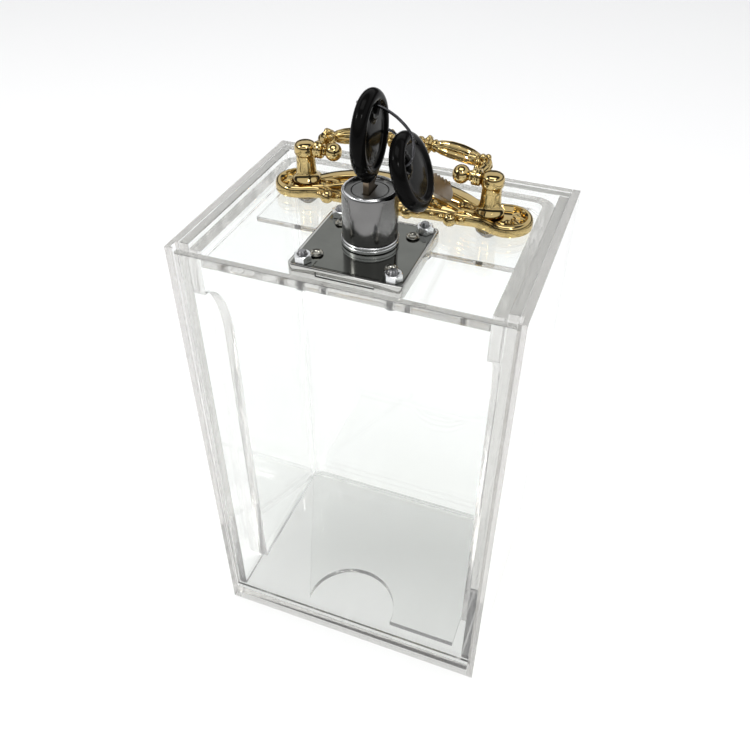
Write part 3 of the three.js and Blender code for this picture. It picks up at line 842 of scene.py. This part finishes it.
# ---- Lock ----
BARREL = middle_of("lock_barrel")
BARREL_LOW = low_of("lock_barrel").z
BARREL_HIGH = high_of("lock_barrel").z
BARREL_FLANGE = 0.35
BARREL_RADIUS = (high_of("lock_barrel").x - low_of("lock_barrel").x) / 2 - BARREL_FLANGE
PLUG_BORE = 6.3
FACE_DEPTH = 1.02
# The barrel's outside from its foot up: radius past the tube's, and height above the foot
BARREL_FOOT = [
    (0.15, 0.0), (BARREL_FLANGE, 0.15), (BARREL_FLANGE, 1.0), (0.2, 1.15), (0.2, 1.35), (BARREL_FLANGE, 1.5),
    (BARREL_FLANGE, 2.1), (0.15, 2.35), (-0.15, 2.45), (-0.15, 2.75), (0, 2.9),
]
# Then its raised lip, with heights from the barrel's top
BARREL_LIP = [
    (0, -1.3), (-0.12, -0.6), (-0.4, -0.15), (-0.75, 0), (-1.0, -0.1), (-1.15, -0.4), (-1.2, -0.95),
    (-1.3, -FACE_DEPTH),
]
# The bright bands end this far above the foot and start this far below the top, and the face is below the lip
FOOT_BAND, LIP_BAND = 2.4, 0.6
FACE_FROM, FACE_TO = 3, 0.9


def lock_barrel():
    """The barrel's tube with its flange and its raised lip, and the dark face inside the lip."""
    r, low, top = BARREL_RADIUS, BARREL_LOW, BARREL_HIGH
    profile = [(PLUG_BORE, low)]
    profile += [(r + out, low + up) for out, up in BARREL_FOOT]
    profile += [(r + out, top + up) for out, up in BARREL_LIP]
    profile.append((PLUG_BORE, top - FACE_DEPTH))
    place = Vector((BARREL.x, BARREL.y, 0))
    tube = lathe(profile, place, 96, caps=False, around=True)
    piece = new_piece("lock_barrel_tube", *tube, SATIN, "box", ["lock_barrel"])
    piece.data.materials.append(FACE)
    piece.data.materials.append(ZINC)
    for polygon in piece.data.polygons:
        height = polygon.center.z
        if polygon.normal.z > LEVEL and (top - FACE_FROM) * MM < height < (top - FACE_TO) * MM:
            polygon.material_index = 1
        if height < (low + FOOT_BAND) * MM or height > (top - LIP_BAND) * MM:
            polygon.material_index = 2


def hex_radius(angle, radius):
    """How far a hexagon's edge is from its middle at an angle."""
    sixth = math.pi / 3
    return radius * math.cos(sixth / 2) / math.cos((angle % sixth) - sixth / 2)


NUT_RADIUS, NUT_BORE, NUT_BORE_CHAMFER = 3.1, 1.6, (0.35, 0.3)
NUT_FLAT = NUT_RADIUS * math.cos(math.pi / 6)
NUT_SEGMENTS = 72
# A nut's corners are turned down outside this share of its flats' radius, at this slope
NUT_CHAMFER_START, NUT_CHAMFER_SLOPE = 0.96, 0.7


def lock_nut(place_name):
    """A hexagon nut with chamfered corners and bore."""
    node = f"lock_nut_{place_name}"
    middle, low, high = middle_of(node), low_of(node).z, high_of(node).z
    chamfer_radius = NUT_FLAT * NUT_CHAMFER_START

    def ring(radius_of, height_of):
        points = []
        for i in range(NUT_SEGMENTS):
            a = 2 * math.pi * i / NUT_SEGMENTS
            r = radius_of(hex_radius(a, NUT_RADIUS))
            points.append(Vector((middle.x + r * math.cos(a), middle.y + r * math.sin(a), height_of(r))))
        return points

    def chamfer(r):
        return high - max(0.0, r - chamfer_radius) * NUT_CHAMFER_SLOPE

    wider, lower = NUT_BORE_CHAMFER
    rings = [
        ring(lambda edge: NUT_BORE, lambda r: low),
        ring(lambda edge: edge, lambda r: low),
        ring(lambda edge: edge, chamfer),
        ring(lambda edge: min(edge, chamfer_radius), chamfer),
        ring(lambda edge: NUT_BORE + wider, lambda r: high),
        ring(lambda edge: NUT_BORE, lambda r: high - lower),
    ]
    new_piece(f"{node}_hex", *skin(rings, around=True), ZINC, "box", [node])


# A machine screw: its head from below, one turn of its thread, and its tip from the top, as radius and height
SCREW_HEAD = [(0, 0), (1.7, 0.05), (2.5, 0.4), (2.95, 1.1), (3.0, 1.9), (2.9, 2.3)]
SCREW_THREAD = [(1.42, 0), (1.42, 0.08), (1.22, 0.25), (1.22, 0.3)]
SCREW_TIP = [(1.3, -0.25), (1.0, 0), (0, 0)]
THREAD_PITCH = 0.5


def lock_screw(place_name):
    """A pan-head machine screw under the lid; the thread shows above its nut."""
    node = f"lock_screw_{place_name}"
    middle, low, high = middle_of(node), low_of(node).z, high_of(node).z
    profile = [(r, low + up) for r, up in SCREW_HEAD]
    z = profile[-1][1]
    while z < high - THREAD_PITCH:
        profile += [(r, z + up) for r, up in SCREW_THREAD]
        z += THREAD_PITCH
    profile += [(r, high + up) for r, up in SCREW_TIP]
    place = Vector((middle.x, middle.y, 0))
    new_piece(f"{node}_threaded", *lathe(profile, place, 32), SCREW, "box", [node])


# A hollow rivet's flared ring: radius, and height above the case
RIVET_PROFILE = [
    (0, 0), (2.2, 0), (2.35, 0.25), (2.2, 0.55), (1.8, 0.7), (1.35, 0.55), (1.1, 0.15), (0.95, 0.08),
    (0, 0.08),
]


def case_rivet(place_name):
    node = f"case_rivet_{place_name}"
    middle, low = middle_of(node), low_of(node).z
    profile = [(r, low + up) for r, up in RIVET_PROFILE]
    place = Vector((middle.x, middle.y, 0))
    new_piece(f"{node}_ring", *lathe(profile, place, 36), RIVET, "box", [node])


CASE_CORNER = 2.2
CASE_CORNER_STEPS = 8
# The case's outside from its foot, then its edge line from its top: distance in, and height
CASE_FOOT = [(0.15, 0), (0, 0.2)]
CASE_RIM = [(0, -0.35), (0.1, -0.1), (0.3, 0.02), (0.75, 0.02), (0.95, -0.06), (1.05, -0.12), (1.6, -0.12)]
# The top, painted dark as a painted reflection, lies more than this below the edge line
CASE_TOP_DROP = 0.05


def case_outline(inset, z):
    """The case's outline with rounded corners, moved in, at a height."""
    low, high = low_of("lock_case"), high_of("lock_case")
    radius = CASE_CORNER - inset
    points = []
    for cx, cy, start in ((1, -1, -90), (1, 1, 0), (-1, 1, 90), (-1, -1, 180)):
        x = (high.x if cx > 0 else low.x) - cx * CASE_CORNER
        y = (high.y if cy > 0 else low.y) - cy * CASE_CORNER
        for i in range(CASE_CORNER_STEPS + 1):
            a = math.radians(start + 90 * i / CASE_CORNER_STEPS)
            points.append(Vector((x + radius * math.cos(a), y + radius * math.sin(a), z)))
    return points


def lock_case():
    """The case: a casting with a thin raised edge line round its mirror-polished top, which is painted dark
    as a painted reflection of the darker surroundings it mirrors.
    """
    foot, top = low_of("lock_case").z, high_of("lock_case").z
    rings = [case_outline(inset, foot + up) for inset, up in CASE_FOOT]
    rings += [case_outline(inset, top + up) for inset, up in CASE_RIM]
    piece = new_piece("lock_case_plate", *skin(rings), CHROME, "box", ["lock_case"])
    cut_away(piece, bolt_slot_tool())
    piece.data.set_sharp_from_angle(angle=SMOOTH_ANGLE)
    # The top gets the darker metal: a painted reflection, not the plate's own colour
    piece.data.materials.append(CASE_TOP_PAINTED_DARK)
    top_index = len(piece.data.materials) - 1
    for polygon in piece.data.polygons:
        if polygon.normal.z > LEVEL and polygon.center.z < (top - CASE_TOP_DROP) * MM:
            polygon.material_index = top_index


def cut_away(piece, tool):
    """Cuts a tool's shape out of a piece, and removes the tool."""
    cut = piece.modifiers.new("cut", "BOOLEAN")
    cut.operation = "DIFFERENCE"
    cut.object = tool
    cut.solver = "EXACT"
    cut.use_self = True
    bpy.context.view_layer.update()
    graph = bpy.context.evaluated_depsgraph_get()
    finished = bpy.data.meshes.new_from_object(piece.evaluated_get(graph))
    piece.modifiers.clear()
    piece.data = finished
    bpy.data.objects.remove(tool)


# The bolt's slot: room round the bolt, and how far the cutter goes past the case's front and behind the bolt
SLOT_GAP, SLOT_ABOVE = 0.3, 0.1
SLOT_BEFORE, SLOT_BEHIND = 1, 6
# The seam in the case's top: width, depth, distance beside the bolt, and distance behind the case's front
SEAM_WIDTH, SEAM_DEPTH, SEAM_BESIDE, SEAM_BEHIND = 0.4, 0.7, 1.5, 1.7
# How far back its ends run, left and right, their overlap with its middle, and the cutter's rise
SEAM_LEFT_END, SEAM_RIGHT_END, SEAM_OVERLAP, SEAM_ABOVE = 3.4, 2.2, 0.1, 1


def bolt_slot_tool():
    """The cutter for the slot the bolt comes out of, and for the thin seam round it in the case's top."""
    case_low, case_high = low_of("lock_case"), high_of("lock_case")
    bolt_low, bolt_high = low_of("lock_bolt"), high_of("lock_bolt")
    seam_low, seam_high = case_high.z - SEAM_DEPTH, case_high.z + SEAM_ABOVE
    left, right = bolt_low.x - SEAM_BESIDE, bolt_high.x + SEAM_BESIDE
    line = case_low.y + SEAM_BEHIND
    start = line - SEAM_OVERLAP
    boxes = [
        (
            (bolt_low.x - SLOT_GAP, case_low.y - SLOT_BEFORE, bolt_low.z - SLOT_GAP),
            (bolt_high.x + SLOT_GAP, bolt_high.y + SLOT_BEHIND, bolt_high.z + SLOT_ABOVE),
        ),
        ((left, line, seam_low), (right, line + SEAM_WIDTH, seam_high)),
        ((left - SEAM_WIDTH, start, seam_low), (left + SEAM_OVERLAP, line + SEAM_LEFT_END, seam_high)),
        ((right - SEAM_OVERLAP, start, seam_low), (right + SEAM_WIDTH, line + SEAM_RIGHT_END, seam_high)),
    ]
    mesh = bpy.data.meshes.new("slot_tool")
    bm = bmesh.new()
    for corner_low, corner_high in boxes:
        made = bmesh.ops.create_cube(bm, size=1.0)
        for v in made["verts"]:
            v.co = Vector([(h if c > 0 else l) * MM for c, l, h in zip(v.co, corner_low, corner_high)])
    bm.to_mesh(mesh)
    bm.free()
    return placed("slot_tool", mesh)


def lock():
    lock_case()
    lock_barrel()
    for place_name in ("front_left", "front_right", "rear_left", "rear_right"):
        lock_nut(place_name)
        lock_screw(place_name)
        case_rivet(place_name)
    finishes = {"lock_plug": FACE, "lock_cam": ZINC, "lock_bolt": CHROME, "lock_cover": ZINC}
    for node, material in finishes.items():
        paint(node, material)
        soften(node, METAL_EDGE)


# ---- Keys ----
KEY_MIDDLE = middle_of("key_bow")
BOW_HALF_WIDTH = (high_of("key_bow").y - low_of("key_bow").y) / 2
BOW_HALF_HEIGHT = (high_of("key_bow").z - low_of("key_bow").z) / 2
BOW_SEGMENTS = 120
# The eye's height above the bow's middle; then its radius, chamfer, and half thickness at edge and middle
EYE_UP = BOW_HALF_HEIGHT - 4.8
EYE_RADIUS, EYE_CHAMFER = 2.3, 0.25
EYE_EDGE, EYE_MIDDLE = 1.9, 0.2
# The spare key's bow, the way its face looks, and the way its blade points
SPARE_MIDDLE = Vector((15.7, -17.0, 231.8))
SPARE_FACE = Vector((0.94, 0.05, 0.33)).normalized()
SPARE_BLADE = Vector((0.14, 0.8, -0.585))

# Distance in from the bow's edge, and half thickness there: a fat rounded rim round a sunk web
BOW_PROFILE = [
    (0.0, 0.0), (0.1, 0.62), (0.35, 1.2), (0.75, 1.75), (1.3, 2.2), (2.0, 2.45), (2.7, 2.5), (3.3, 2.3),
    (3.75, 1.95), (4.1, 1.65), (4.5, 1.5),
]
WEB_INSET, WEB_HALF = BOW_PROFILE[-1]
WEB_STEPS = 14
# The rim has run out into the web after one part in this many of the way to the eye
RIM_FADE = 3
# The collar round the eye: its middle outside the eye, half width, height, and sharpness
COLLAR_OUT, COLLAR_WIDTH, COLLAR_HEIGHT, COLLAR_SHARPNESS = 0.9, 1.3, 0.85, 0.7
# The web's crown: half width, half height, how far its middle is below the bow's, and how high it is
CROWN_X, CROWN_Y, CROWN_DOWN, CROWN_HEIGHT = 7.5, 9.5, 2, 0.35
# The neck: height from the bow's lower end, and half width and half thickness there
NECK = [(3.2, 5.4, 1.9), (1.4, 5.0, 2.0), (0.4, 4.7, 1.9), (-0.1, 4.5, 1.7), (-0.25, 4.2, 1.4)]
NECK_SEGMENTS = 40
# Powers of cosine and sine that make its outline nearly a box
NECK_SQUARENESS = (0.45, 0.6)


def bow_points(inset, half_thick):
    points = []
    for i in range(BOW_SEGMENTS):
        a = 2 * math.pi * i / BOW_SEGMENTS
        x = (BOW_HALF_WIDTH - inset) * math.sin(a)
        y = (BOW_HALF_HEIGHT - inset) * math.cos(a)
        points.append(Vector((x, y, half_thick)))
    return points


def eye_points(radius, half_thick):
    turn = 2 * math.pi / BOW_SEGMENTS
    return [
        Vector((radius * math.sin(i * turn), EYE_UP + radius * math.cos(i * turn), half_thick))
        for i in range(BOW_SEGMENTS)
    ]


def web_height(point):
    """Half thickness of the web: a soft collar stands round the eye, and a low crown in the middle."""
    from_eye = (Vector((point.x, point.y)) - Vector((0, EYE_UP))).length
    collar = max(0.0, 1 - abs(from_eye - EYE_RADIUS - COLLAR_OUT) / COLLAR_WIDTH)
    crown = max(0.0, 1 - (point.x / CROWN_X) ** 2 - ((point.y + CROWN_DOWN) / CROWN_Y) ** 2)
    return WEB_HALF + COLLAR_HEIGHT * collar ** COLLAR_SHARPNESS + CROWN_HEIGHT * crown


def bow_half(sign):
    """The rings of one face of a bow, from its edge to its eye."""
    rings = [bow_points(inset, sign * half) for inset, half in BOW_PROFILE]
    web = bow_points(WEB_INSET, 0)
    eye = eye_points(EYE_RADIUS + EYE_CHAMFER, 0)
    for k in range(1, WEB_STEPS + 1):
        t = k / WEB_STEPS
        near_rim = max(0.0, 1 - t * RIM_FADE)
        ring = []
        for outer, inner in zip(web, eye):
            p = Vector((outer.x + (inner.x - outer.x) * t, outer.y + (inner.y - outer.y) * t, 0))
            p.z = sign * (web_height(p) * (1 - near_rim) + WEB_HALF * near_rim)
            ring.append(p)
        rings.append(ring)
    rings.append(eye_points(EYE_RADIUS, sign * EYE_EDGE))
    rings.append(eye_points(EYE_RADIUS, sign * EYE_MIDDLE))
    return rings


def key_neck():
    """The tapered collar where the blade comes out of the bow."""
    flat, thick = NECK_SQUARENESS
    rings = []
    for up, half_x, half_z in NECK:
        ring = []
        for i in range(NECK_SEGMENTS):
            a = 2 * math.pi * i / NECK_SEGMENTS
            x = half_x * math.copysign(abs(math.cos(a)) ** flat, math.cos(a))
            z = half_z * math.copysign(abs(math.sin(a)) ** thick, math.sin(a))
            ring.append(Vector((x, up - BOW_HALF_HEIGHT, z)))
        rings.append(ring)
    return skin(rings)


def key_place(middle, blade_way, face_way):
    """Takes a bow's points to their place: blade and face turned to the given ways."""
    up = -blade_way.normalized()
    side = up.cross(face_way).normalized()
    face = side.cross(up)
    turn = Matrix((side, up, face)).transposed()
    return lambda point: middle + turn @ point


def key_bow(name, node, body, place):
    front, back = bow_half(1), bow_half(-1)
    rings = front + list(reversed(back))
    verts, faces = joined(skin(rings, caps=False), key_neck())
    new_piece(name, [place(v) for v in verts], faces, PLASTIC, body, [node])


def keys():
    spare_blade = (SPARE_BLADE - SPARE_FACE * SPARE_BLADE.dot(SPARE_FACE)).normalized()
    upright = key_place(KEY_MIDDLE, Vector((0, 0, -1)), Vector((1, 0, 0)))
    hanging = key_place(SPARE_MIDDLE, spare_blade, SPARE_FACE)
    key_bow("moulded_bow", "key_bow", "key", upright)
    key_bow("moulded_spare_bow", "spare_key_bow", "spare_key", hanging)
    for node in ("key_blade", "spare_key_blade"):
        paint(node, BLADE)
        soften(node, BLADE_EDGE)
    paint("key_ring", WIRE)
    wire = weld("key_ring")
    smooth = wire.modifiers.new("round", "SUBSURF")
    smooth.levels = 2
    smooth.render_levels = 2


def handle():
    handle_plate()
    plate_ribs()
    plate_ornaments()
    handle_posts()
    pivot_pins()
    handle_bail()
    for name in ("left", "right"):
        for node in (f"handle_screw_{name}", f"handle_washer_{name}"):
            paint(node, SCREW)
            soften(node, METAL_EDGE)


# ---- Floor, light and camera ----
FLOOR_HALF = 4000.0
FLOOR_PATCHES = (3, 2.0)
FLOOR_COLOURS = ((0.90, 0.90, 0.905), (0.915, 0.915, 0.915))


def floor():
    """A plain pale floor, flat and square."""
    nodes = MaterialNodes("pale_floor")
    shader = nodes.principled(Roughness=0.55, Specular_IOR_Level=0.25)
    nodes.link(nodes.colour(nodes.noise(*FLOOR_PATCHES), *FLOOR_COLOURS), shader.inputs["Base Color"])
    mesh = bpy.data.meshes.new("floor")
    corners = [(x * FLOOR_HALF, y * FLOOR_HALF, 0) for x, y in ((-1, -1), (1, -1), (1, 1), (-1, 1))]
    mesh.from_pydata([Vector(c) * MM for c in corners], [], [(0, 1, 2, 3)])
    mesh.materials.append(nodes.material)
    placed("floor", mesh)


LAMP_TINT = (1, 0.99, 0.97)
WHITE = (1, 1, 1)
# Area lights: name, place, the place each points at, width and length in metres, watts, and colour
LAMPS = [
    ("key_left", (-0.85, -0.5, 1.0), (0, 0, 0.1), (0.18, 0.18), 2.8, LAMP_TINT),
    ("key_right", (0.55, -0.65, 1.15), (0, 0, 0.1), (0.16, 0.16), 2.1, LAMP_TINT),
    ("overhead", (0, -0.1, 1.6), (0, 0, 0), (1.0, 0.7), 6.8, WHITE),
]


def area_light(name, place, target, size, power, colour):
    data = bpy.data.lights.new(name, "AREA")
    data.shape = "RECTANGLE"
    data.size, data.size_y = size
    data.energy = power
    data.color = colour
    light = placed(name, data)
    light.location = place
    light.rotation_euler = (Vector(target) - Vector(place)).to_track_quat("-Z", "Y").to_euler()


ROOM_PALE = (0.86, 0.865, 0.87)
ROOM_DARK = (0.03, 0.03, 0.033)
# The sine of the elevation over which the room goes dark overhead
DARK_OVERHEAD = (0.74, 0.80)
# The same for a low dark band: where it starts above the horizon, and where it ends, with its sign turned
DARK_BAND_START = (0.03, 0.08)
DARK_BAND_END = (-0.40, -0.34)


def world():
    """A pale room, which glossy rays see dark overhead and in a low band, like a studio's dark parts.

    Rays through slightly rough acrylic count as glossy too, so a raised door can look dark from behind.
    """
    surroundings = bpy.data.worlds.new("room")
    bpy.context.scene.world = surroundings
    surroundings.use_nodes = True
    nodes = Nodes(surroundings.node_tree)
    way = nodes.add("ShaderNodeTexCoord").outputs["Generated"]

    def towards(pole, start, end):
        """0 to 1 as a direction turns towards a pole, from cosine start to cosine end."""
        dot = nodes.add("ShaderNodeVectorMath", operation="DOT_PRODUCT")
        dot.inputs[1].default_value = pole
        nodes.link(way, dot.inputs[0])
        return nodes.between(dot.outputs["Value"], 0.0, 1.0, start, end)

    overhead = towards(UP, *DARK_OVERHEAD)
    low_band = nodes.math("MULTIPLY", towards(UP, *DARK_BAND_START), towards(-UP, *DARK_BAND_END))
    mirrored = nodes.add("ShaderNodeLightPath").outputs["Is Glossy Ray"]
    dark = nodes.math("MULTIPLY", mirrored, nodes.math("MAXIMUM", overhead, low_band))
    background = nodes.tree.nodes["Background"]
    nodes.link(nodes.colour(dark, ROOM_PALE, ROOM_DARK), background.inputs["Color"])


def lights():
    for lamp in LAMPS:
        area_light(*lamp)


def camera():
    data = bpy.data.cameras.new("camera")
    data.lens = CAMERA_LENS
    data.sensor_width = CAMERA_SENSOR
    data.clip_start = 0.01
    data.clip_end = 50
    view = placed("camera", data)
    a, e = math.radians(CAMERA_AZIMUTH), math.radians(CAMERA_ELEVATION)
    forward = Vector((-math.sin(a) * math.cos(e), math.cos(a) * math.cos(e), -math.sin(e)))
    view.location = CAMERA_PLACE
    view.rotation_euler = forward.to_track_quat("-Z", "Y").to_euler()
    bpy.context.scene.camera = view


camera()
world()
lights()
floor()
acrylic_sheets()
handle()
lock()
keys()

# Light passes many times inside the stacked sheets: with few bounces their edges turn black
ACRYLIC_BOUNCES = 80
SHADOW_LAYERS = 48
scene = bpy.context.scene
scene.view_settings.view_transform = "Standard"
scene.cycles.max_bounces = ACRYLIC_BOUNCES
scene.cycles.transmission_bounces = ACRYLIC_BOUNCES
scene.cycles.glossy_bounces = ACRYLIC_BOUNCES
scene.cycles.transparent_max_bounces = SHADOW_LAYERS
